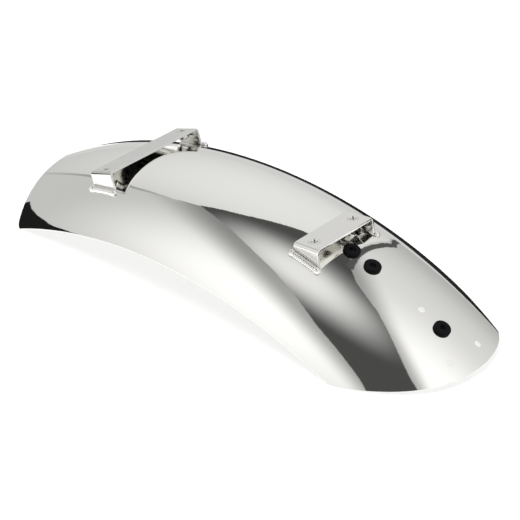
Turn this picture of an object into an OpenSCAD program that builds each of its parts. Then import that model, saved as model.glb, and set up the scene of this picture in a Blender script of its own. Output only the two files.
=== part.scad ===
/* [Shell] */
// Overall width of the rolled shell, edge to edge
shell_width = 170; // [160:1:200]
// Thickness of the stainless sheet
sheet = 1.5; // [1:0.1:2]
// Radius of the crown line seen from the side, on the outer face
crown_r = 477; // [440:1:560]
// Length along the crown from the front end to the tail tip
crown_length = 454; // [440:1:520]
// Cross-section radius over the middle of the crown
arch_r = 141; // [125:1:160]
// Cross-section radius of the two shoulders
shoulder_r = 93; // [88:1:110]
// Half width of the flatter middle band of the cross-section
arch_half = 29.2; // [24:0.1:36]
// Angle between the straight tail trim and the crown at the tip
tail_trim = 35.5; // [30:0.5:42]
// Radius of the two lower corners at the front end
front_corner_r = 7; // [4:0.5:12]
// Radius where the tail trim meets the side edges
heel_r = 45; // [20:1:60]

/* [Wiring and tail light holes] */
// Diameter of the holes that hold the rubber grommets
grommet_hole_d = 10; // [9:0.5:12]
// From the middle of the rear bracket to the first wiring hole
wiring_offset = 20.5; // [19:0.5:24]
// Distance between the two wiring holes
wiring_pitch = 21.5; // [18:0.5:24]
// Diameter of the three tail light screw holes
light_hole_d = 5.5; // [4.5:0.5:6.5]
// From the pair of tail light holes to the tail tip
light_setback = 15.9; // [14:0.1:22]
// Distance across the pair of tail light holes
light_spread = 34.5; // [28:0.5:40]
// From the pair of tail light holes to the single one
light_length = 46.5; // [40:0.1:56]
// From the single tail light hole to the wire hole behind it
light_wire_offset = 21.5; // [16:0.5:26]

/* [Brackets] */
// Thickness of the bracket strip
strip = 2; // [1.5:0.1:2.5]
// Width of the bracket strip
strip_width = 24.5; // [22:0.5:27]
// Outer radius of the bends
bend_r = 3.2; // [2.5:0.1:3.4]
// Length of the front bracket across the mudguard
front_length = 104; // [104:0.5:112]
// Distance between the two front bolt holes
front_hole_pitch = 89; // [72:0.5:89]
// From the front end to the middle of the front bracket, along the crown
front_station = 92.7; // [70:0.1:110]
// Height of the middle of the front plate above the crown
front_lift = 3.6; // [3.6:0.1:8]
// Angle that the front plate is lifted at its rear edge
front_lean = 6.5; // [0:0.5:6.5]
// Length of the rear bracket across the mudguard
rear_length = 67.5; // [62:0.5:76]
// Distance between the two rear bolt holes
rear_hole_pitch = 46; // [36:0.5:50]
// From the front end to the middle of the rear bracket, along the crown
rear_station = 298; // [280:0.5:310]
// Height of the middle of the rear plate above the crown
rear_lift = 7.2; // [7.2:0.1:12]
// Angle that the rear plate is lifted at its rear edge
rear_lean = 18; // [8:0.5:18]

/* [Weld nuts] */
// Bore left by the nut thread
thread_bore_d = 5; // [4:0.1:5.5]
// Diameter of the nut's pilot that shows in the plate
pilot_d = 9; // [8:0.1:9]
// Diameter of the nut's round body under the plate
nut_d = 9.6; // [9.6:0.1:9.8]
// Height of the nut's body under the plate
nut_height = 5; // [4:0.1:5.5]
// Gap between the pilot and its hole in the plate
pilot_gap = 0.1; // [0.05:0.05:0.2]
// Chamfer on the nut's edges
nut_chamfer = 0.6; // [0.3:0.1:0.8]
// Chamfer on the upper edge of the nut's body, which clears the bend of the plate
nut_relief = 0.25; // [0.1:0.05:0.3]

/* [Welds] */
// Radius of the weld bead
bead_r = 2.9; // [2.4:0.1:3.4]
// Radius of the drop at each end of the weld
end_drop_r = 3.4; // [3:0.1:4]
// How far the weld's middle stands off the leg
weld_offset = 1.8; // [1.5:0.1:1.8]

/* [Rubber grommets] */
// Outer diameter of the grommet's two lips
lip_d = 14; // [13:0.5:17]
// Height of the outer lip
lip_height = 2.3; // [1.8:0.1:3]
// Bore for the wires
wire_bore_d = 4.6; // [3:0.1:6.5]
// Play between the grommet's groove and the curved sheet
groove_play = 0.25; // [0.2:0.05:0.4]
// Gap between the grommet's neck and its hole
neck_gap = 0.1; // [0.05:0.05:0.2]
// Radius of the rounded edge of the lips
lip_round = 1; // [0.5:0.1:1.2]

/* [Hidden] */
$fn = 96;
degrees = 180 / PI;
// Side of the mudguard that is on the left of the rider, who faces its front end
left = -1;
// How far cutting shapes pass the faces that they cut
past = 20;
// Facets of the circles that are as large as the whole arch
arch_fn = 360;

// Cross-section: the angle where the arch ends, and the angle at the side edges
arch_angle = asin(arch_half / arch_r);
shoulder_y = (arch_r - shoulder_r) * sin(arch_angle);
shoulder_drop = arch_r - (arch_r - shoulder_r) * cos(arch_angle);
edge_angle = asin((shell_width / 2 - shoulder_y) / shoulder_r);
edge_drop = shoulder_drop - (shoulder_r - sheet) * cos(edge_angle);
// Radius of the lowest line of the side edges, seen from the side
edge_r = crown_r - edge_drop;

// Depth of the outer face below the crown at a distance y from the middle
function drop_at(y) = abs(y) < arch_half
    ? arch_r - sqrt(arch_r * arch_r - y * y)
    : shoulder_drop - sqrt(shoulder_r * shoulder_r - pow(abs(y) - shoulder_y, 2));

// Angle on the arch of a place given by its length from the front end, middle of the crown at 0
function arch_at(station) = (station - crown_length / 2) / crown_r * degrees;
// Point in the side view at an angle and a radius on the arch
function side(angle, r) = [r * sin(angle), r * cos(angle)];

front_angle = arch_at(0);
tip_angle = arch_at(crown_length);

// Tail trim line in the side view: its direction, its normal and its distance from the arch centre
trim_slope = tail_trim - tip_angle;
trim_dir = [cos(trim_slope), sin(trim_slope)];
trim_normal = [-sin(trim_slope), cos(trim_slope)];
trim_distance = crown_r * cos(tail_trim);

// Centres of the rounded corners in the side view
front_corner = side(front_angle + asin(front_corner_r / (edge_r + front_corner_r)),
    edge_r + front_corner_r);
heel_along = sqrt(pow(edge_r + heel_r, 2) - pow(trim_distance + heel_r, 2));
heel = trim_normal * (trim_distance + heel_r) + trim_dir * heel_along;

// Turn that lays the front corners and the heels on the ground, and the height of the arch centre then
corner_gap = heel - front_corner;
settle = asin((heel_r - front_corner_r) / norm(corner_gap)) - atan2(corner_gap[1], corner_gap[0]);
function settled(p) = [p[0] * cos(settle) - p[1] * sin(settle),
    p[0] * sin(settle) + p[1] * cos(settle)];
centre_height = heel_r - settled(heel)[1];
// The part is centred between its front end and its tail tip
middle_x = (settled(side(front_angle, crown_r))[0] + settled(side(tip_angle, crown_r))[0]) / 2;

// Stations of the holes along the crown
front_wiring_station = rear_station + wiring_offset;
rear_wiring_station = front_wiring_station + wiring_pitch;
light_pair_station = crown_length - light_setback;
light_single_station = light_pair_station - light_length;
light_wire_station = light_single_station + light_wire_offset;

// Brings the side view's arch frame to the ground, standing on its corners
module stand() translate([-middle_x, 0, centre_height]) rotate([0, -settle, 0]) children();

// Places children on the outer face at a station and a distance from the middle, +Z outwards
module on_shell(station, y = 0) {
    rotate([0, arch_at(station), 0])
        translate([0, y, crown_r - drop_at(y)])
            rotate([-asin(y / arch_r), 0, 0])
                children();
}

// Middle of a cross-section, X outwards from the arch centre and Y across the mudguard
module crown_part(r, half) {
    intersection() {
        translate([crown_r - arch_r, 0]) circle(r = r, $fn = arch_fn);
        translate([crown_r - shoulder_drop, -half]) square([shoulder_drop, 2 * half]);
    }
}

// Places children at the centres of the two shoulder curves
module shoulders() {
    for (hand = [0, 1])
        mirror([0, hand])
            translate([crown_r - shoulder_drop, shoulder_y])
                children();
}

// Solid cross-section under the outer face
module outer_section() {
    reach = shoulder_r * 1.5;
    crown_part(arch_r, arch_half);
    shoulders()
        intersection() {
            circle(r = shoulder_r, $fn = arch_fn);
            polygon([[0, 0], [reach, 0], reach * [cos(edge_angle / 2), sin(edge_angle / 2)],
                reach * [cos(edge_angle), sin(edge_angle)]]);
        }
}

// Cross-section of the hollow inside the sheet
module inner_section() {
    crown_part(arch_r - sheet, (arch_r - sheet) * sin(arch_angle));
    shoulders() circle(r = shoulder_r - sheet, $fn = arch_fn);
}

// Sweeps a cross-section about the arch centre, between two stations
module sweep(from, to) {
    rotate([90, 0, 0])
        rotate([0, 0, 90 - arch_at(to)])
            rotate_extrude(angle = arch_at(to) - arch_at(from), $fn = arch_fn)
                children();
}

// Cuts a side view right through the mudguard
module across() {
    rotate([90, 0, 0])
        linear_extrude(height = shell_width + past, center = true)
            children();
}

// Side view of what is cut away outside a rounded corner, between two directions from its centre
module corner_cut(centre, r, from, to) {
    reach = r * 1.6;
    middle = (from + to) / 2;
    translate(centre)
        difference() {
            polygon([[0, 0], reach * [cos(from), sin(from)], reach * [cos(middle), sin(middle)],
                reach * [cos(to), sin(to)]]);
            circle(r = r);
        }
}

// Side view of what is cut away below the straight tail trim
module tail_cut() {
    depth = crown_r / 4;
    corner = trim_normal * trim_distance;
    polygon([corner, corner + trim_dir * crown_r, corner + trim_dir * crown_r - trim_normal * depth,
        corner - trim_normal * depth]);
}

module bore(station, y, d) {
    on_shell(station, y)
        cylinder(d = d, h = past, center = true);
}

module mudguard_shell() {
    front_in = atan2(-front_corner[1], -front_corner[0]);
    heel_in = atan2(-heel[1], -heel[0]);
    color("#c8cac9")
        stand()
            difference() {
                sweep(0, crown_length)
                    difference() {
                        outer_section();
                        inner_section();
                    }
                across() tail_cut();
                across() corner_cut(front_corner, front_corner_r, -180 - front_angle, front_in);
                across() corner_cut(heel, heel_r, heel_in, trim_slope - 90);
                bore(front_wiring_station, 0, grommet_hole_d);
                bore(rear_wiring_station, 0, grommet_hole_d);
                bore(light_wire_station, 0, grommet_hole_d);
                bore(light_single_station, 0, light_hole_d);
                for (hand = [-1, 1])
                    bore(light_pair_station, hand * light_spread / 2, light_hole_d);
            }
}

// Block with its two upper edges rounded, seen along the mudguard; its top is at zero
module rounded_block(width, depth, r) {
    translate([-width / 2 + r, -depth]) square([width - 2 * r, depth]);
    translate([-width / 2, -depth]) square([width, depth - r]);
    for (hand = [-1, 1])
        translate([hand * (width / 2 - r), -r]) circle(r = r);
}

// Places children at the middle of a bracket's top face, +Z away from the mudguard
module on_bracket(station, lift, lean) {
    rotate([0, arch_at(station), 0])
        translate([0, 0, crown_r + lift])
            rotate([0, -lean, 0])
                children();
}

// Strip bent down at both ends, before its legs are cut to the shell
module bent_strip(length, leg) {
    rotate([90, 0, 90])
        linear_extrude(height = strip_width, center = true)
            difference() {
                rounded_block(length, leg, bend_r);
                translate([0, -strip]) rounded_block(length - 2 * strip, leg, bend_r - strip);
            }
}

// Bracket that bridges the crown, with its two feet on the outer face
module bracket(station, length, hole_pitch, lift, lean) {
    leg = lift + drop_at(length / 2) + strip_width * sin(lean) / 2 + past / 4;
    stand()
        difference() {
            on_bracket(station, lift, lean)
                difference() {
                    bent_strip(length, leg);
                    for (hand = [-1, 1])
                        translate([0, hand * hole_pitch / 2, -strip / 2])
                            cylinder(d = pilot_d + 2 * pilot_gap, h = strip * 2, center = true);
                }
            sweep(station - strip_width * 2, station + strip_width * 2) outer_section();
        }
}

module front_bracket() {
    color("#bfc1c0")
        bracket(front_station, front_length, front_hole_pitch, front_lift, front_lean);
}

module rear_bracket() {
    color("#bfc1c0")
        bracket(rear_station, rear_length, rear_hole_pitch, rear_lift, rear_lean);
}

// Round weld nut, its pilot flush with the plate and its body below it
module weld_nut() {
    r = thread_bore_d / 2;
    c = nut_chamfer;
    low = -strip - nut_height;
    rotate_extrude()
        polygon([[r, -c], [r + c, 0], [pilot_d / 2, 0], [pilot_d / 2, -strip],
            [nut_d / 2 - nut_relief, -strip], [nut_d / 2, -strip - nut_relief],
            [nut_d / 2, low + c], [nut_d / 2 - c, low], [r + c, low], [r, low + c]]);
}

module nut_pair(station, hole_pitch, lift, lean) {
    color("#b4b5b3")
        stand()
            on_bracket(station, lift, lean)
                for (hand = [-1, 1])
                    translate([0, hand * hole_pitch / 2, 0]) weld_nut();
}

module front_weld_nuts() nut_pair(front_station, front_hole_pitch, front_lift, front_lean);
module rear_weld_nuts() nut_pair(rear_station, rear_hole_pitch, rear_lift, rear_lean);

// Angle on the arch where a line across the strip, at u from its middle, runs down its leg
// and meets the outer face
function foot_angle(station, length, lift, lean, u) =
    let (
        up = side(arch_at(station) - lean, 1),
        along = [up[1], -up[0]],
        start = side(arch_at(station), crown_r + lift) + u * along,
        foot_r = crown_r - drop_at(length / 2),
        down = start * up - sqrt(foot_r * foot_r - start * start + pow(start * up, 2)),
        foot = start - down * up
    )
    atan2(foot[0], foot[1]);

// Weld bead along the foot of one leg, with a drop at each end that wraps the leg's edge
module weld(station, length, lift, lean, hand) {
    y = length / 2 + weld_offset;
    r = crown_r - drop_at(y);
    from = foot_angle(station, length, lift, lean, -strip_width / 2);
    to = foot_angle(station, length, lift, lean, strip_width / 2);
    leg = lift + drop_at(length / 2) + past;
    color("#d6d7d5")
        stand()
            difference() {
                union() {
                    rotate([90, 0, 0])
                        rotate([0, 0, 90 - to])
                            rotate_extrude(angle = to - from, $fn = arch_fn)
                                intersection() {
                                    translate([r, -hand * y]) circle(r = bead_r);
                                    translate([r - past, hand > 0 ? -length / 2 - past : length / 2])
                                        square([2 * past, past]);
                                }
                    for (end = [from, to])
                        rotate([0, end, 0])
                            translate([0, hand * y, r])
                                sphere(r = end_drop_r, $fn = 48);
                }
                on_bracket(station, lift, lean) bent_strip(length, leg);
                sweep(station - strip_width * 2, station + strip_width * 2) outer_section();
            }
}

module front_weld(hand) weld(front_station, front_length, front_lift, front_lean, hand);
module rear_weld(hand) weld(rear_station, rear_length, rear_lift, rear_lean, hand);
module front_bracket_weld_left() front_weld(left);
module front_bracket_weld_right() front_weld(-left);
module rear_bracket_weld_left() rear_weld(left);
module rear_bracket_weld_right() rear_weld(-left);

// Half section of a grommet's lip, its flat side at zero
module lip_section() {
    from = wire_bore_d / 2;
    to = lip_d / 2;
    translate([from, 0]) square([to - from, lip_height - lip_round]);
    translate([from + lip_round, 0]) square([to - from - 2 * lip_round, lip_height]);
    translate([from + lip_round, lip_height - lip_round]) circle(r = lip_round);
    translate([to - lip_round, lip_height - lip_round]) circle(r = lip_round);
}

// Rubber grommet that grips the edge of its hole in a groove between two lips
module grommet(station) {
    groove = sheet + groove_play;
    neck_r = grommet_hole_d / 2 - neck_gap;
    color("#1d1e1f")
        stand()
            on_shell(station)
                rotate_extrude() {
                    lip_section();
                    translate([0, -groove]) mirror([0, 1]) lip_section();
                    translate([wire_bore_d / 2, -groove]) square([neck_r - wire_bore_d / 2, groove]);
                }
}

module front_wiring_grommet() grommet(front_wiring_station);
module rear_wiring_grommet() grommet(rear_wiring_station);
module tail_light_grommet() grommet(light_wire_station);

mudguard_shell();
front_bracket();
rear_bracket();
front_weld_nuts();
rear_weld_nuts();
front_bracket_weld_left();
front_bracket_weld_right();
rear_bracket_weld_left();
rear_bracket_weld_right();
front_wiring_grommet();
rear_wiring_grommet();
tail_light_grommet();
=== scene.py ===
# %% [markdown]
# A motorcycle rear mudguard, dressed for its portrait.
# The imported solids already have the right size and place, so this lesson only gives them a finish,
# adds the fine parts that a machine shop leaves behind, and sets up a small studio around them.
# Everything is in metres, in the frame of the solids: +X points to the tail, +Z is up, the floor is z = 0.

# %% Load the frame
from math import acos, asin, atan2, copysign, cos, degrees, floor, hypot, pi, radians, sin, sqrt

import bmesh
import bpy
from mathutils import Matrix, Vector, noise


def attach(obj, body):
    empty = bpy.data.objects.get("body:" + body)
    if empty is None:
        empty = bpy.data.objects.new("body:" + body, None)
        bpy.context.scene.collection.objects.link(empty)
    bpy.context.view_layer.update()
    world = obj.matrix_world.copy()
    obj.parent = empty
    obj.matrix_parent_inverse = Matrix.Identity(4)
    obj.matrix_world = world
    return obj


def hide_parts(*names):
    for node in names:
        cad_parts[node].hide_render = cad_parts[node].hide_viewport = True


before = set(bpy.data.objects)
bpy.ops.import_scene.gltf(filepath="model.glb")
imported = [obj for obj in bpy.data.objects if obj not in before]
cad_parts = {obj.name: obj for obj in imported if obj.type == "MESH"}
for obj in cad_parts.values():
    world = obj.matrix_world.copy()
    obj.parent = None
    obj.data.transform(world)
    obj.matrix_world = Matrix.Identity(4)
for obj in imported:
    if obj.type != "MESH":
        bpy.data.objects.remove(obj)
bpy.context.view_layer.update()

print("CAD nodes:", ", ".join(sorted(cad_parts)))

# %% [markdown]
# The camera comes first, because every later choice is judged through it.
# The photo looks down on the part from its left rear with a long lens.
# The camera could be keyed in as a location and three angles, but it is easier to read as an aim point,
# a distance and two angles round the part, with a slight roll of the hand that held it.
# The Standard view transform keeps the levels as they are lit, so that white paper stays white.

# %% The camera
AIM = Vector((0.0408, -0.0469, 0.05))
CAMERA_DISTANCE = 1.465
CAMERA_AZIMUTH = radians(42.394)
CAMERA_ELEVATION = radians(31.907)
CAMERA_ROLL = radians(-0.635)
LENS_MM = 131.46
SENSOR_MM = 36


def add_object(name, data):
    """Puts a mesh, a lamp or a camera in the scene as an object of its own."""
    thing = bpy.data.objects.new(name, data)
    bpy.context.scene.collection.objects.link(thing)
    return thing


camera_data = bpy.data.cameras.new("camera")
camera_data.lens = LENS_MM
camera_data.sensor_width = SENSOR_MM
camera = add_object("camera", camera_data)
turn = (
    Matrix.Rotation(CAMERA_AZIMUTH, 4, "Z")
    @ Matrix.Rotation(pi / 2 - CAMERA_ELEVATION, 4, "X")
    @ Matrix.Rotation(CAMERA_ROLL, 4, "Z")
)
towards_camera = Vector((
    sin(CAMERA_AZIMUTH) * cos(CAMERA_ELEVATION),
    -cos(CAMERA_AZIMUTH) * cos(CAMERA_ELEVATION),
    sin(CAMERA_ELEVATION),
))
camera.matrix_world = Matrix.Translation(AIM + CAMERA_DISTANCE * towards_camera) @ turn
bpy.context.scene.camera = camera
bpy.context.scene.view_settings.view_transform = "Standard"
print("camera at", [round(c, 3) for c in camera.matrix_world.translation])

# %% [markdown]
# Polished stainless is a mirror with a little life in it: the buffing wheel leaves very faint clouds and
# hair-fine scratches, so the sharpest reflections soften by a few hundredths. Stainless is slightly warm.
# Noise on Object coordinates sets the roughness, and a second stretched noise gives a bump too weak to see
# alone but enough to break the edges of the reflections.
# The brackets keep the satin grain of rolled bar, drawn out along the strip. The nuts are duller and the weld
# metal is bright but uneven. The rubber is a deep black whose tone and gloss drift a little, as bloom does.

# %% Finishes
GRAIN_LOW = 0.12
GRAIN_HIGH = 0.42
CLOUD_SHARE = 9


def new_material(name):
    """An empty node material, with its node tree and its output node."""
    material = bpy.data.materials.new(name)
    material.use_nodes = True
    tree = material.node_tree
    tree.nodes.clear()
    output = tree.nodes.new("ShaderNodeOutputMaterial")
    return material, tree, output


def metal(name, colour, low, high, scale, stretch, bump, height):
    """A bare metal. Its roughness runs from low to high with two noises, and its relief follows the finer."""
    material, tree, output = new_material(name)
    surface = tree.nodes.new("ShaderNodeBsdfPrincipled")
    surface.inputs["Base Color"].default_value = (*colour, 1)
    surface.inputs["Metallic"].default_value = 1
    coordinate = tree.nodes.new("ShaderNodeTexCoord")
    mapping = tree.nodes.new("ShaderNodeMapping")
    mapping.inputs["Scale"].default_value = stretch
    grain = tree.nodes.new("ShaderNodeTexNoise")
    grain.inputs["Scale"].default_value = scale
    grain.inputs["Detail"].default_value = 4
    clouds = tree.nodes.new("ShaderNodeTexNoise")
    clouds.inputs["Scale"].default_value = scale / CLOUD_SHARE
    clouds.inputs["Detail"].default_value = 2
    mix = tree.nodes.new("ShaderNodeMath")
    mix.operation = "MULTIPLY"
    span = tree.nodes.new("ShaderNodeMapRange")
    span.inputs["From Min"].default_value = GRAIN_LOW
    span.inputs["From Max"].default_value = GRAIN_HIGH
    span.inputs["To Min"].default_value = low
    span.inputs["To Max"].default_value = high
    relief = tree.nodes.new("ShaderNodeBump")
    relief.inputs["Strength"].default_value = bump
    relief.inputs["Distance"].default_value = height
    tree.links.new(coordinate.outputs["Object"], mapping.inputs["Vector"])
    tree.links.new(mapping.outputs["Vector"], grain.inputs["Vector"])
    tree.links.new(coordinate.outputs["Object"], clouds.inputs["Vector"])
    tree.links.new(grain.outputs["Fac"], mix.inputs[0])
    tree.links.new(clouds.outputs["Fac"], mix.inputs[1])
    tree.links.new(mix.outputs[0], span.inputs["Value"])
    tree.links.new(span.outputs["Result"], surface.inputs["Roughness"])
    tree.links.new(grain.outputs["Fac"], relief.inputs["Height"])
    tree.links.new(relief.outputs["Normal"], surface.inputs["Normal"])
    tree.links.new(surface.outputs[0], output.inputs["Surface"])
    return material


def moulded_rubber(name):
    """Black rubber with the fine dull skin that the mould leaves."""
    material, tree, output = new_material(name)
    surface = tree.nodes.new("ShaderNodeBsdfPrincipled")
    surface.inputs["Specular IOR Level"].default_value = 0.08
    coordinate = tree.nodes.new("ShaderNodeTexCoord")
    skin = tree.nodes.new("ShaderNodeTexNoise")
    skin.inputs["Scale"].default_value = 900
    skin.inputs["Detail"].default_value = 5
    bloom = tree.nodes.new("ShaderNodeTexNoise")
    bloom.inputs["Scale"].default_value = 160
    tone = tree.nodes.new("ShaderNodeMix")
    tone.data_type = "RGBA"
    tone.inputs["A"].default_value = (0.0016, 0.0017, 0.0022, 1)
    tone.inputs["B"].default_value = (0.004, 0.0043, 0.0052, 1)
    rough = tree.nodes.new("ShaderNodeMapRange")
    rough.inputs["To Min"].default_value = 0.42
    rough.inputs["To Max"].default_value = 0.62
    relief = tree.nodes.new("ShaderNodeBump")
    relief.inputs["Strength"].default_value = 0.35
    relief.inputs["Distance"].default_value = 0.0002
    tree.links.new(coordinate.outputs["Object"], skin.inputs["Vector"])
    tree.links.new(coordinate.outputs["Object"], bloom.inputs["Vector"])
    tree.links.new(bloom.outputs["Fac"], tone.inputs["Factor"])
    tree.links.new(tone.outputs["Result"], surface.inputs["Base Color"])
    tree.links.new(bloom.outputs["Fac"], rough.inputs["Value"])
    tree.links.new(rough.outputs["Result"], surface.inputs["Roughness"])
    tree.links.new(skin.outputs["Fac"], relief.inputs["Height"])
    tree.links.new(relief.outputs["Normal"], surface.inputs["Normal"])
    tree.links.new(surface.outputs[0], output.inputs["Surface"])
    return material


FINISHES = {
    "polished_stainless": metal("polished_stainless", (0.93, 0.925, 0.895), low=0.015, high=0.05, scale=60,
                                stretch=(1, 8, 8), bump=0.02, height=0.0003),
    "satin_stainless": metal("satin_stainless", (0.81, 0.805, 0.78), low=0.13, high=0.22, scale=260,
                             stretch=(3, 0.12, 3), bump=0.02, height=0.0001),
    "nut_steel": metal("nut_steel", (0.80, 0.795, 0.77), low=0.10, high=0.22, scale=500,
                       stretch=(1, 1, 1), bump=0.03, height=0.0001),
    "weld_metal": metal("weld_metal", (0.93, 0.925, 0.90), low=0.06, high=0.16, scale=300,
                        stretch=(1, 1, 1), bump=0.04, height=0.0001),
    "black_rubber": moulded_rubber("black_rubber"),
}
print("finishes:", ", ".join(FINISHES))

# %% [markdown]
# Every new piece is a mesh of its own that stands in for a imported solid and moves with the same body.
# The steps to put one in the scene are always the same, so they are written once, here.
# Meshes are built in metres at their final place, which keeps patterns on Object coordinates still.

# %% Helpers that put a piece in the scene
def finish_piece(name, mesh, slot, node=None):
    """Puts a finished mesh in the scene as a piece of the mudguard."""
    piece = add_object(name, mesh)
    mesh.materials.clear()
    mesh.materials.append(FINISHES[slot])
    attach(piece, "root")
    if node:
        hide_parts(node)
    print(name, len(mesh.polygons), "faces")
    return piece


def to_mesh(name, shape):
    """Turns a bmesh into a mesh and frees it."""
    mesh = bpy.data.meshes.new(name)
    shape.to_mesh(mesh)
    shape.free()
    return mesh


# %% [markdown]
# The mudguard is one stainless sheet, rolled to an arch along its length and to a flatter arch across it.
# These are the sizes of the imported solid, so the new sheet lies exactly on it. A point of the outer face is
# found from two lengths on the sheet: station runs along the crown from the front end, and across runs
# sideways from the middle. The part stands on its front corners and on the heels of the tail trim.

# %% The form of the sheet
SHEET = 0.0015
HALF_WIDTH = 0.085
CROWN_R = 0.477
CROWN_LENGTH = 0.454
ARCH_R = 0.141
ARCH_HALF = 0.0292
SHOULDER_R = 0.093
ARCH_ANGLE = asin(ARCH_HALF / ARCH_R)
SHOULDER_Y = (ARCH_R - SHOULDER_R) * sin(ARCH_ANGLE)
SHOULDER_DROP = ARCH_R - (ARCH_R - SHOULDER_R) * cos(ARCH_ANGLE)
EDGE_ANGLE = asin((HALF_WIDTH - SHOULDER_Y) / SHOULDER_R)
EDGE_R = CROWN_R - SHOULDER_DROP + (SHOULDER_R - SHEET) * cos(EDGE_ANGLE)
HALF_ACROSS = ARCH_R * ARCH_ANGLE + SHOULDER_R * (EDGE_ANGLE - ARCH_ANGLE)
CORNER_R = 0.007
HEEL_R = 0.045
TAIL_TRIM = radians(35.5)


def arch_at(station):
    """The angle of a station on the arch, with the middle of the crown at zero."""
    return (station - CROWN_LENGTH / 2) / CROWN_R


def side_view(angle, radius):
    """The place of an angle and a radius on the arch, seen from the side."""
    return Vector((radius * sin(angle), radius * cos(angle)))


TRIM_SLOPE = TAIL_TRIM - arch_at(CROWN_LENGTH)
TRIM_DISTANCE = CROWN_R * cos(TAIL_TRIM)
trim_along = Vector((cos(TRIM_SLOPE), sin(TRIM_SLOPE)))
trim_normal = Vector((-sin(TRIM_SLOPE), cos(TRIM_SLOPE)))
corner = side_view(arch_at(0) + asin(CORNER_R / (EDGE_R + CORNER_R)), EDGE_R + CORNER_R)
heel_along = sqrt((EDGE_R + HEEL_R) ** 2 - (TRIM_DISTANCE + HEEL_R) ** 2)
heel = trim_normal * (TRIM_DISTANCE + HEEL_R) + trim_along * heel_along
gap = heel - corner
SETTLE = asin((HEEL_R - CORNER_R) / gap.length) - atan2(gap[1], gap[0])


def settled(place):
    """Turns a side view place by the angle that lays the corners and the heels on the floor."""
    return Vector((
        place[0] * cos(SETTLE) - place[1] * sin(SETTLE),
        place[0] * sin(SETTLE) + place[1] * cos(SETTLE),
    ))


CENTRE_HEIGHT = HEEL_R - settled(heel)[1]
MIDDLE_X = (settled(side_view(arch_at(0), CROWN_R))[0]
            + settled(side_view(arch_at(CROWN_LENGTH), CROWN_R))[0]) / 2
STAND = Matrix.Translation((-MIDDLE_X, 0, CENTRE_HEIGHT)) @ Matrix.Rotation(-SETTLE, 4, "Y")


def section(across):
    """Sideways place, drop below the crown, and tilt of the outer face at a length across the sheet."""
    flat = ARCH_R * ARCH_ANGLE
    if abs(across) < flat:
        tilt = across / ARCH_R
        return ARCH_R * sin(tilt), ARCH_R * (1 - cos(tilt)), tilt
    tilt = ARCH_ANGLE + (abs(across) - flat) / SHOULDER_R
    drop = SHOULDER_DROP - SHOULDER_R * cos(tilt)
    return copysign(SHOULDER_Y + SHOULDER_R * sin(tilt), across), drop, copysign(tilt, across)


def sheet_place(station, across, depth=0.0):
    """A point of the sheet in the frame, at a depth below its outer face."""
    y, drop, tilt = section(across)
    radius = CROWN_R - drop - depth * cos(tilt)
    x, z = side_view(arch_at(station), radius)
    return STAND @ Vector((x, y - depth * sin(tilt), z))


print("edge radius", round(EDGE_R, 5), "settle", round(degrees(SETTLE), 3), "height", round(CENTRE_HEIGHT, 5))

# %% [markdown]
# The outline is what the trimming shears leave: a straight front end with two small round corners, and a
# slanted tail cut with two large round heels. For each line along the sheet, two limits say where it starts
# and where it ends. Another way would be to cut a long sheet with Boolean solids, but a mirror shows every
# uneven facet, and a grid that follows the outline has none.

# %% Where each line of the sheet starts and ends
def circle_angle(radius, centre, r):
    """Angle from a circle's centre to its rim, seen from the arch centre, at a radius on the arch."""
    far = centre.length
    value = (radius ** 2 + far ** 2 - r ** 2) / (2 * radius * far)
    return acos(min(1.0, value))


def line_limits(across, depth):
    """First and last station of the line at a length across the sheet, at a depth."""
    drop, tilt = section(across)[1:]
    radius = CROWN_R - drop - depth * cos(tilt)
    first = arch_at(0)
    if radius < (EDGE_R + CORNER_R) * cos(asin(CORNER_R / (EDGE_R + CORNER_R))):
        first = atan2(corner[0], corner[1]) - circle_angle(radius, corner, CORNER_R)
    if radius < (heel - trim_normal * HEEL_R).length:
        last = atan2(heel[0], heel[1]) + circle_angle(radius, heel, HEEL_R)
    else:
        last = acos(TRIM_DISTANCE / radius) - TRIM_SLOPE
    return first * CROWN_R + CROWN_LENGTH / 2, last * CROWN_R + CROWN_LENGTH / 2


print("middle line", [round(s, 4) for s in line_limits(0, 0)])
print("edge line", [round(s, 4) for s in line_limits(HALF_ACROSS, 0)])

# %% [markdown]
# The sheet starts as a flat grid. Its lines are closer together at the two side edges, where the corners
# turn fast. The grid is bent to the outer face, a second one to the inner face, and their rims are bridged.
# Close to its rim each face rolls in a little, as the buffing wheel leaves it, but never below the floor.

# %% Press the sheet
LINES_ALONG = 180
LINES_ACROSS = 96
RIM_R = 0.00045


def rim_depth(distance):
    """How far the rounded rim lies below the face, at a distance from the edge."""
    if distance >= RIM_R:
        return 0.0
    return RIM_R - sqrt(RIM_R ** 2 - (RIM_R - max(distance, 0.0)) ** 2)


def pressed_face(shape, depth):
    """A flat grid bent to one face of the sheet. Gives its rim."""
    grid = bmesh.ops.create_grid(shape, x_segments=LINES_ALONG, y_segments=LINES_ACROSS, size=1)
    for vert in grid["verts"]:
        across = HALF_ACROSS * sin(vert.co.y * pi / 2)
        first, last = line_limits(across, depth)
        station = first + (last - first) * (sin(vert.co.x * pi / 2) + 1) / 2
        inset = min(HALF_ACROSS - abs(across), station - first, last - station)
        way = 1 if depth < SHEET / 2 else -1
        vert.co = sheet_place(station, across, depth + way * rim_depth(inset))
        vert.co.z = max(vert.co.z, 0.0)
    faces = {face for vert in grid["verts"] for face in vert.link_faces}
    return [edge for face in faces for edge in face.edges if edge.is_boundary]


shape = bmesh.new()
rims = pressed_face(shape, 0.0) + pressed_face(shape, SHEET)
bmesh.ops.bridge_loops(shape, edges=list(set(rims)))
bmesh.ops.recalc_face_normals(shape, faces=shape.faces[:])
sheet_piece = add_object("sheet_blank", to_mesh("sheet_blank", shape))
print("sheet blank", len(sheet_piece.data.polygons), "faces")

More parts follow.
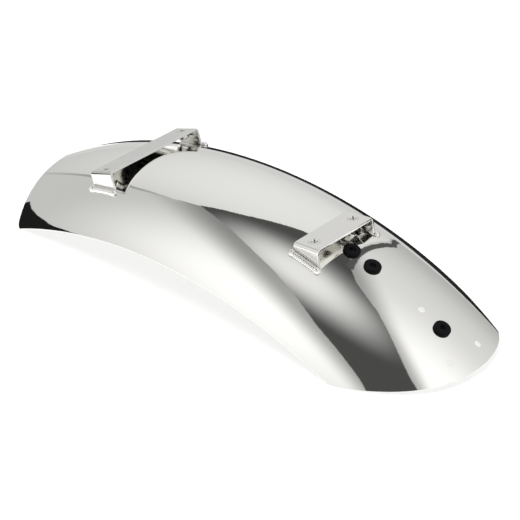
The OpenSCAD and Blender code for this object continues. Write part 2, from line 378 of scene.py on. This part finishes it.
# %% [markdown]
# Three holes carry the rubber grommets, and three smaller ones the screws of the tail light. The maker drills
# them square to the sheet, and so do the round cutters here. A Boolean difference leaves the rest of the grid
# as it was, which a mirror needs.

# %% Drill the holes
GROMMET_HOLE_R = 0.005
LIGHT_HOLE_R = 0.00275
DRILL_LENGTH = 0.02
HOLES = [
    (0.3185, 0.0, GROMMET_HOLE_R),
    (0.34, 0.0, GROMMET_HOLE_R),
    (0.4131, 0.0, GROMMET_HOLE_R),
    (0.3916, 0.0, LIGHT_HOLE_R),
    (0.4381, 0.01725, LIGHT_HOLE_R),
    (0.4381, -0.01725, LIGHT_HOLE_R),
]


def on_sheet(station, y):
    """The turn and place of the outer face at a station and a distance from the middle, +Z outwards."""
    tilt = asin(y / ARCH_R)
    drop = ARCH_R * (1 - cos(tilt))
    return (STAND @ Matrix.Rotation(arch_at(station), 4, "Y") @ Matrix.Translation((0, y, CROWN_R - drop))
            @ Matrix.Rotation(-tilt, 4, "X"))


drills = bmesh.new()
for station, y, r in HOLES:
    bmesh.ops.create_cone(drills, cap_ends=True, segments=48, radius1=r, radius2=r, depth=DRILL_LENGTH,
                          matrix=on_sheet(station, y))
drill_piece = add_object("drills", to_mesh("drills", drills))
cut = sheet_piece.modifiers.new("holes", "BOOLEAN")
cut.object = drill_piece
cut.operation = "DIFFERENCE"
cut.solver = "EXACT"
seen = sheet_piece.evaluated_get(bpy.context.evaluated_depsgraph_get())
mesh = bpy.data.meshes.new_from_object(seen)
bpy.data.objects.remove(sheet_piece)
bpy.data.objects.remove(drill_piece)
print("drilled", len(HOLES), "holes, now", len(mesh.polygons), "faces")

# %% [markdown]
# A polished sheet bends its reflections smoothly, while a mesh turns a little at every edge.
# So each corner of the two large faces gets the true direction of the rolled form at its place.
# The narrow cut faces keep their own: straight cuts stay flat, and the rounded rim between stays smooth.

# %% True directions for the mirror
TO_ARCH = STAND.inverted()
LARGE_FACE = 0.97
STRAIGHT_CUT = 0.05


def true_direction(place, inward):
    """The direction of the rolled face at a place, outwards or into the wheel space."""
    arch = TO_ARCH @ place
    y = abs(arch.y)
    shift = SHEET if inward else 0.0
    if y < (ARCH_R - shift) * sin(ARCH_ANGLE):
        tilt = asin(y / (ARCH_R - shift))
    else:
        tilt = asin(min(1.0, (y - SHOULDER_Y) / (SHOULDER_R - shift)))
    turn = atan2(arch.x, arch.z)
    out = Vector((sin(turn) * cos(tilt), copysign(sin(tilt), arch.y), cos(turn) * cos(tilt)))
    out = STAND.to_3x3() @ out
    return -out if inward else out


directions = [Vector((0, 0, 0))] * len(mesh.loops)
for face in mesh.polygons:
    face.use_smooth = True
    out = true_direction(face.center, False)
    lean = face.normal.dot(out)
    if abs(lean) < LARGE_FACE:
        face.use_smooth = abs(lean) > STRAIGHT_CUT
        continue
    for corner_index in face.loop_indices:
        vert = mesh.vertices[mesh.loops[corner_index].vertex_index]
        directions[corner_index] = true_direction(vert.co, lean < 0)
mesh.normals_split_custom_set(directions)
finish_piece("shell_sheet", mesh, "polished_stainless", "mudguard_shell")

# %% [markdown]
# The brackets are strips of flat bar, sheared, drilled and bent. Shears and drills leave edges that a file
# has broken, and these narrow edges catch the light. Each imported bracket is copied, its loose triangles are
# merged, and a bevel breaks every sharp edge by a fifth of a millimetre. The large faces must still look
# flat, so a Weighted Normal modifier lets the largest face at each point set the direction there.

# %% Break the edges of the brackets
MERGE_DISTANCE = 1e-6
SHARP_EDGE = radians(35)
BROKEN_EDGE = 0.0002


def merged_copy(node):
    """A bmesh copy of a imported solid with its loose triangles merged."""
    shape = bmesh.new()
    shape.from_mesh(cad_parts[node].data)
    shape.transform(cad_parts[node].matrix_world)
    bmesh.ops.remove_doubles(shape, verts=shape.verts[:], dist=MERGE_DISTANCE)
    return shape


for node in ("front_bracket", "rear_bracket"):
    shape = merged_copy(node)
    sharp = [edge for edge in shape.edges if edge.calc_face_angle(0) > SHARP_EDGE]
    bmesh.ops.bevel(shape, geom=sharp, offset=BROKEN_EDGE, segments=2, profile=0.5, affect="EDGES",
                    material=-1, clamp_overlap=True)
    for face in shape.faces:
        face.smooth = True
    piece = finish_piece(node + "_strip", to_mesh(node + "_strip", shape), "satin_stainless", node)
    level_faces = piece.modifiers.new("level_faces", "WEIGHTED_NORMAL")
    level_faces.mode = "FACE_AREA"
    level_faces.weight = 100
    level_faces.thresh = 0.0001

# %% [markdown]
# A hand-laid weld is a row of small frozen pools, each one lapping over the last, with a fatter drop where
# the torch started and stopped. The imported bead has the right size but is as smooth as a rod. A voxel remesh
# gives its copy an even fine skin, and each point is then moved a little: in crescents along the bead for the
# pools, and by a soft noise for the spatter. The overall size stays, because the moves go inwards.

# %% Ripple the weld beads
RIPPLE_PITCH = 0.0017
RIPPLE_DEPTH = 0.0005
CRESCENT = 0.0009
BEAD_R = 0.003
LUMPS_PER_METRE = 260
SKIN_SIZE = 0.00022
SMOOTH_ROUNDS = 4


def ripple(place, middle, phase):
    """How far a point lies below the crests of a bead whose middle is that far from the centre plane."""
    arch = TO_ARCH @ place
    along = atan2(arch.x, arch.z) * CROWN_R
    off = (abs(arch.y) - middle) / BEAD_R
    wave = (along + CRESCENT * off * off) / RIPPLE_PITCH + phase
    pool = abs(2 * (wave - floor(wave)) - 1)
    lump = 0.5 + 0.5 * noise.noise(place * LUMPS_PER_METRE + Vector((phase * 9, 0, 0)))
    return RIPPLE_DEPTH * (0.6 * pool * pool + 0.5 * lump * lump)


BEADS = {
    "front_bracket_weld_left": (0.0538, 0.1),
    "front_bracket_weld_right": (0.0538, 0.45),
    "rear_bracket_weld_left": (0.0355, 0.7),
    "rear_bracket_weld_right": (0.0355, 0.25),
}
for node, (middle, phase) in BEADS.items():
    shape = merged_copy(node)
    blank = add_object("bead_blank", to_mesh("bead_blank", shape))
    skin = blank.modifiers.new("skin", "REMESH")
    skin.mode = "VOXEL"
    skin.voxel_size = SKIN_SIZE
    seen = blank.evaluated_get(bpy.context.evaluated_depsgraph_get())
    shape = bmesh.new()
    shape.from_mesh(seen.to_mesh())
    bpy.data.objects.remove(blank)
    for _ in range(SMOOTH_ROUNDS):
        bmesh.ops.smooth_vert(shape, verts=shape.verts[:], factor=0.5, use_axis_x=True, use_axis_y=True,
                              use_axis_z=True)
    shape.normal_update()
    for vert in shape.verts:
        vert.co -= vert.normal * ripple(vert.co, middle, phase)
    for face in shape.faces:
        face.smooth = True
    finish_piece(node + "_bead", to_mesh(node + "_bead", shape), "weld_metal", node)

# %% [markdown]
# Round weld nuts sit under the brackets, and their threads show in the holes of the plates.
# A real thread is one ridge that climbs round the bore. The spin operator makes just that: a small triangle
# turns about the axis of the bore and rises by one pitch at each turn. It is narrower than the pitch, so that
# the turns stay apart, and its two ends are closed.

# %% Cut the threads
THREAD_PITCH = 0.001
THREAD_TURNS = 5
THREAD_CREST_R = 0.00212
THREAD_ROOT_R = 0.00253
RIDGE_WIDTH = 0.9 * THREAD_PITCH
STEPS_A_TURN = 32
BORES = {
    "front": ((-0.129569, 0.0445, 0.06313), (-0.321838, 0, 0.946795)),
    "rear": ((0.075676, 0.023, 0.066276), (-0.097828, 0, 0.995203)),
}


def thread_ridge():
    """A closed ridge that climbs round the Z axis."""
    shape = bmesh.new()
    start = -THREAD_PITCH * (THREAD_TURNS + 1) / 2
    root = shape.verts.new((THREAD_ROOT_R, 0, start))
    crest = shape.verts.new((THREAD_CREST_R, 0, start + THREAD_PITCH / 2))
    end = shape.verts.new((THREAD_ROOT_R, 0, start + RIDGE_WIDTH))
    sides = [shape.edges.new(pair) for pair in ((root, crest), (crest, end), (end, root))]
    bmesh.ops.spin(shape, geom=[root, crest, end] + sides, axis=(0, 0, 1), cent=(0, 0, 0),
                   angle=2 * pi * THREAD_TURNS, dvec=(0, 0, THREAD_PITCH / STEPS_A_TURN),
                   steps=STEPS_A_TURN * THREAD_TURNS)
    bmesh.ops.holes_fill(shape, edges=shape.edges[:], sides=3)
    bmesh.ops.recalc_face_normals(shape, faces=shape.faces[:])
    return shape


for end_name, ((x, y, z), axis) in BORES.items():
    for side, way in (("left", -1), ("right", 1)):
        turn = Vector((0, 0, 1)).rotation_difference(Vector(axis)).to_matrix().to_4x4()
        shape = thread_ridge()
        shape.transform(Matrix.Translation((x, way * y, z)) @ turn)
        name = f"{end_name}_{side}_thread"
        finish_piece(name, to_mesh(name, shape), "nut_steel")

# %% [markdown]
# The weld nuts and the rubber grommets are simple turned forms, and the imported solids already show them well.
# They keep their meshes and only put on a finish.

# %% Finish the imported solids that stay
PACKED_FINISHES = {
    "front_weld_nuts": "nut_steel",
    "rear_weld_nuts": "nut_steel",
    "front_wiring_grommet": "black_rubber",
    "rear_wiring_grommet": "black_rubber",
    "tail_light_grommet": "black_rubber",
}
for name, finish in PACKED_FINISHES.items():
    for material_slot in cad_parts[name].material_slots:
        material_slot.material = FINISHES[finish]
    print(name, "wears", finish)

# %% [markdown]
# A mirror shows the room and not itself, so the room is designed as carefully as the part.
# Each softbox, wall and dark gap is one card. Its corners are laid out on a sky chart: u is degrees from
# the zenith towards +X, w is degrees from the zenith towards +Y. The card is then bent to a dome round the
# part, so that its light can be given by places and angles on the same chart. Near cards hide far ones.
# Only reflections see the cards, so they never block the lamp or show behind the part.

# %% Helpers for the cards
CHART_CENTRE = Vector((0, 0, 0.05))
CHART_REACH = 108
CARD_STEP = 6


def sky(u, w):
    """The direction of a place on the sky chart, as a unit vector."""
    tilt = radians(hypot(u, w))
    turn_to = atan2(w, u)
    return Vector((sin(tilt) * cos(turn_to), sin(tilt) * sin(turn_to), cos(tilt)))


def spot(place, inner, outer, near, far):
    """A term of a card's light: near inside the inner radius, far beyond the outer one, in degrees."""
    return {"place": place, "inner": inner, "outer": outer, "near": near, "far": far}


def slope(start, end, near, far):
    """A term of a card's light: near at the start place, far at the end place."""
    return {"start": start, "end": end, "near": near, "far": far}


def add_term(tree, coordinate, distance, term):
    """The nodes of one term. Gives the socket that carries its level."""
    measure = tree.nodes.new("ShaderNodeVectorMath")
    ramp = tree.nodes.new("ShaderNodeMapRange")
    ramp.interpolation_type = "SMOOTHSTEP"
    ramp.inputs["To Min"].default_value = term["near"]
    ramp.inputs["To Max"].default_value = term["far"]
    if "place" in term:
        measure.operation = "DISTANCE"
        measure.inputs[1].default_value = CHART_CENTRE + distance * sky(*term["place"])
        ramp.inputs["From Min"].default_value = distance * 2 * sin(radians(term["inner"]) / 2)
        ramp.inputs["From Max"].default_value = distance * 2 * sin(radians(term["outer"]) / 2)
    else:
        start = CHART_CENTRE + distance * sky(*term["start"])
        end = CHART_CENTRE + distance * sky(*term["end"])
        measure.operation = "DOT_PRODUCT"
        measure.inputs[1].default_value = end - start
        ramp.inputs["From Min"].default_value = start.dot(end - start)
        ramp.inputs["From Max"].default_value = end.dot(end - start)
    tree.links.new(coordinate.outputs["Object"], measure.inputs[0])
    tree.links.new(measure.outputs["Value"], ramp.inputs["Value"])
    return ramp.outputs["Result"]


def card_glow(name, distance, terms):
    """A material that glows with the product of its terms, or with one plain level."""
    material, tree, output = new_material(name)
    glow = tree.nodes.new("ShaderNodeEmission")
    tree.links.new(glow.outputs[0], output.inputs["Surface"])
    if isinstance(terms, float):
        glow.inputs["Strength"].default_value = terms
        return material
    coordinate = tree.nodes.new("ShaderNodeTexCoord")
    level = None
    for term in terms:
        socket = add_term(tree, coordinate, distance, term)
        if level is None:
            level = socket
            continue
        product = tree.nodes.new("ShaderNodeMath")
        product.operation = "MULTIPLY"
        tree.links.new(level, product.inputs[0])
        tree.links.new(socket, product.inputs[1])
        level = product.outputs[0]
    tree.links.new(level, glow.inputs["Strength"])
    return material


def hang(name, shape, material):
    """Puts a card in the studio. The camera, diffuse light and shadows don't see it."""
    thing = add_object(name, to_mesh(name, shape))
    thing.data.materials.append(material)
    thing.visible_camera = False
    thing.visible_diffuse = False
    thing.visible_shadow = False
    thing.visible_volume_scatter = False
    print(name, len(thing.data.polygons), "faces")


def card(name, distance, corners, terms):
    """One card with its corners on the chart, bent so that all of it is as far from the part."""
    shape = bmesh.new()
    shape.faces.new([shape.verts.new((u, w, 0)) for u, w in corners])
    for step in range(-CHART_REACH, CHART_REACH + 1, CARD_STEP):
        for way in ((1, 0, 0), (0, 1, 0)):
            every = shape.verts[:] + shape.edges[:] + shape.faces[:]
            bmesh.ops.bisect_plane(shape, geom=every, dist=1e-4, plane_co=Vector(way) * step, plane_no=way)
    for vert in shape.verts:
        vert.co = CHART_CENTRE + distance * sky(vert.co.x, vert.co.y)
    hang(name, shape, card_glow(name, distance, terms))


# %% [markdown]
# One wall stands beyond the part, one past its tail, and a softbox on its left. The dark ceiling hangs
# between them and shades the crown. The seam and the gap between the walls draw the fine lines of the photo,
# and a black flag low at the front draws the dark corner.

# %% The cards
card("far_wall", 9.0,
     [(-104, 0), (-104, 60), (-80, 80), (-50, 106), (10, 108), (10, 20), (-16, 15), (-36, 5), (-44, 7),
      (-53, 9.5), (-64.3, 16.5), (-72.8, 21.5), (-80, 27)],
     [spot((-33, 42), 3, 62, 0.82, 0.53)])
card("left_softbox", 8.0,
     [(-37, 12), (-45, 8.5), (-53, 9.8), (-64.3, 17), (-72.8, 22), (-84, 31), (-100, 10), (-96, -20),
      (-84, -45), (-60, -66), (-8, -80), (30, -74), (8, -40), (-3, -30), (-9, -20), (-15, -12), (-21, -6),
      (-28, 2)],
     [spot((-19, -43), 2, 56, 1.13, 0.57), slope((-14, -19), (-27, -30), 0.42, 1.0)])
card("seam", 7.9,
     [(-84, 32.5), (-72.8, 23.2), (-64.3, 18.2), (-53, 11), (-44, 9), (-40, 8), (-44, 7.6), (-53, 8.8),
      (-64.3, 15.8), (-72.8, 20.8), (-84, 30)],
     [spot((-60, 14), 2, 26, 0.34, 0.52)])
card("dark_ceiling", 7.6,
     [(-38, 12), (-20, 33), (-13, 37), (-9.6, 37), (-6.6, 30.3), (-2.7, 24), (5, 18), (9, 12), (13, 5),
      (20, -8), (34, -24), (34, -60), (12, -54), (8, -42), (3, -36), (-3, -30), (-9, -20), (-15, -12),
      (-21, -6), (-28, 2)],
     [spot((-10, 0), 3, 29, 0.83, 0.07)])
card("right_wall", 7.4,
     [(-7, 30.3), (-2.7, 24), (5, 18), (9, 12), (13, 5), (20, -8), (34, -24), (80, -30), (100, 40), (60, 100),
      (0, 110), (-41, 100), (-38.6, 90), (-24.2, 74), (-21.1, 68), (-18.1, 61), (-14.8, 51), (-11.9, 42),
      (-9.8, 36)],
     [spot((28, 6), 6, 46, 1.12, 0.74), slope((5, 15), (12.2, 20.3), 0.45, 1.0),
      spot((-32, 92), 8, 62, 0.64, 1.0)])
card("wall_gap", 7.2,
     [(-6.2, 30), (-8.2, 36), (-10.2, 42), (-13.0, 51), (-16.2, 61), (-19.1, 68), (-22.2, 74), (-36, 89),
      (-39, 98), (-42, 98), (-38.2, 90), (-23.6, 74), (-20.5, 68), (-17.5, 61), (-14.3, 51), (-11.5, 42),
      (-9.6, 36), (-8, 30)],
     0.09)
card("left_black", 7.0,
     [(-77, -6), (-76, -14), (-74, -22), (-70.5, -32), (-66, -38), (-60, -43), (-64, -70), (-104, -60),
      (-104, -8)],
     0.012)

# %% [markdown]
# The room behind the cards is plain and white, and one large soft lamp above gives the floor its faint
# shadow. What the camera and mirrors see of the room is a little brighter than the light that it gives.

# %% The world and the lamp
def seen_level(tree, lit, seen):
    """A socket that is seen for camera, glossy and transmission rays, and lit for all other rays."""
    path = tree.nodes.new("ShaderNodeLightPath")
    shown = path.outputs["Is Camera Ray"]
    for ray in ("Is Glossy Ray", "Is Transmission Ray"):
        either = tree.nodes.new("ShaderNodeMath")
        either.operation = "MAXIMUM"
        tree.links.new(shown, either.inputs[0])
        tree.links.new(path.outputs[ray], either.inputs[1])
        shown = either.outputs[0]
    level = tree.nodes.new("ShaderNodeMapRange")
    level.inputs["To Min"].default_value = lit
    level.inputs["To Max"].default_value = seen
    tree.links.new(shown, level.inputs["Value"])
    return level.outputs["Result"]


ROOM_LIT = 0.95
ROOM_SEEN = 1.0
LAMP_PLACE = Vector((-0.5, -0.6, 2.4))
LAMP_WIDTH = 1.6
LAMP_WATTS = 60

world = bpy.data.worlds.new("studio")
bpy.context.scene.world = world
world.use_nodes = True
tree = world.node_tree
tree.nodes.clear()
output = tree.nodes.new("ShaderNodeOutputWorld")
background = tree.nodes.new("ShaderNodeBackground")
tree.links.new(seen_level(tree, ROOM_LIT, ROOM_SEEN), background.inputs["Strength"])
tree.links.new(background.outputs[0], output.inputs["Surface"])

lamp_data = bpy.data.lights.new("key", "AREA")
lamp_data.size = LAMP_WIDTH
lamp_data.energy = LAMP_WATTS
lamp = add_object("key", lamp_data)
lamp.location = LAMP_PLACE
lamp.rotation_euler = (-LAMP_PLACE).to_track_quat("-Z", "Y").to_euler()
lamp.visible_glossy = False
lamp.visible_camera = False
print("lamp at", [round(c, 2) for c in LAMP_PLACE], LAMP_WATTS, "W")

# %% [markdown]
# The photo's floor is white paper that shows almost no shadow. Part of its white is a glow of its own, which
# the camera and mirrors see brighter, and the rest is diffuse, so that a faint shadow still grounds the part.

# %% The floor
PAPER_COLOUR = 0.42
PAPER_LIT = 0.32
PAPER_SEEN = 0.64
FLOOR_R = 12
FLOOR_HEIGHT = -0.0002

material, tree, output = new_material("floor_white")
paper = tree.nodes.new("ShaderNodeBsdfDiffuse")
paper.inputs["Color"].default_value = (PAPER_COLOUR, PAPER_COLOUR, PAPER_COLOUR, 1)
shine = tree.nodes.new("ShaderNodeEmission")
both = tree.nodes.new("ShaderNodeAddShader")
tree.links.new(seen_level(tree, PAPER_LIT, PAPER_SEEN), shine.inputs["Strength"])
tree.links.new(paper.outputs[0], both.inputs[0])
tree.links.new(shine.outputs[0], both.inputs[1])
tree.links.new(both.outputs[0], output.inputs["Surface"])

shape = bmesh.new()
bmesh.ops.create_circle(shape, cap_ends=True, segments=64, radius=FLOOR_R,
                        matrix=Matrix.Translation((0, 0, FLOOR_HEIGHT)))
ground = add_object("floor", to_mesh("floor", shape))
ground.data.materials.append(material)
print("floor radius", FLOOR_R, "m")

# %% [markdown]
# The far side of the part mirrors the floor behind it. A grey cloth lies there, and a dark strip on it draws
# the black line along the far rim. Like the cards, only reflections see them.

# %% Cloths on the floor
FLOOR_CLOTHS = {
    "grey_cloth": (0.0003, 0.66, [(-9, 0.25), (9, 0.25), (9, 9), (-9, 9)]),
    "dark_strip": (0.0006, 0.02, [(-0.42, 0.17), (0.14, 0.13), (0.34, 0.16), (0.36, 0.70), (0.05, 0.60),
                                  (-0.02, 0.36), (-0.42, 0.31)]),
}
for name, (height, level, outline) in FLOOR_CLOTHS.items():
    shape = bmesh.new()
    shape.faces.new([shape.verts.new((x, y, height)) for x, y in outline])
    hang(name, shape, card_glow(name, 1.0, level))
